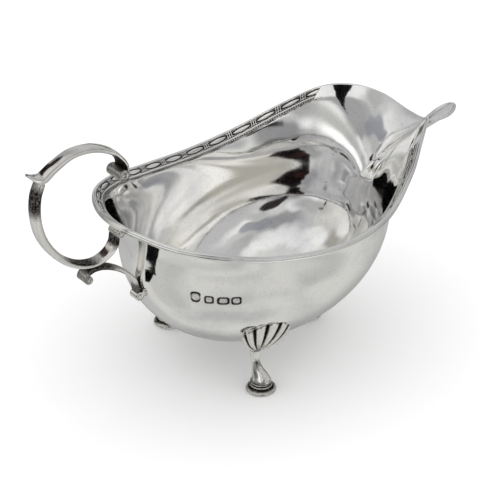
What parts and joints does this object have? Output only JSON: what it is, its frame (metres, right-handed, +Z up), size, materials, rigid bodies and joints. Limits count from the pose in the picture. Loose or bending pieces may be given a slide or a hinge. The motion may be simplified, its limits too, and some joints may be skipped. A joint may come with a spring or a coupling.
{
  "type": "sauce boat",
  "caption": "Open oval serving vessel with a raised helmet spout and small pouring lip, a double scroll handle at the back, an applied border, and shell and pad feet.",
  "frame": {"origin": "centre of the overall length and width, on the table plane under the foot pads", "axes": "+X towards the pouring lip, +Z up; the X-Z plane is the plane of symmetry"},
  "size_m": [0.1645, 0.078, 0.0895],
  "materials": {
    "sheet_silver": "polished silver with fine wear",
    "cast_silver": "polished silver casting, darker in the hollows",
    "border_silver": "stamped silver with dark oxide in the pattern"
  },
  "bodies": {
    "root": {"bowl": "sheet_silver", "rim_wire": "sheet_silver", "border_strip": "border_silver", "handle_top_scroll": "cast_silver", "handle_lower_scroll": "cast_silver", "handle_bracket": "cast_silver", "near_foot_shell": "cast_silver", "near_foot_leg": "cast_silver", "near_foot_pad": "cast_silver", "far_foot_shell": "cast_silver", "far_foot_leg": "cast_silver", "far_foot_pad": "cast_silver", "front_foot_shell": "cast_silver", "front_foot_leg": "cast_silver", "front_foot_pad": "cast_silver"}
  },
  "joints": []
}
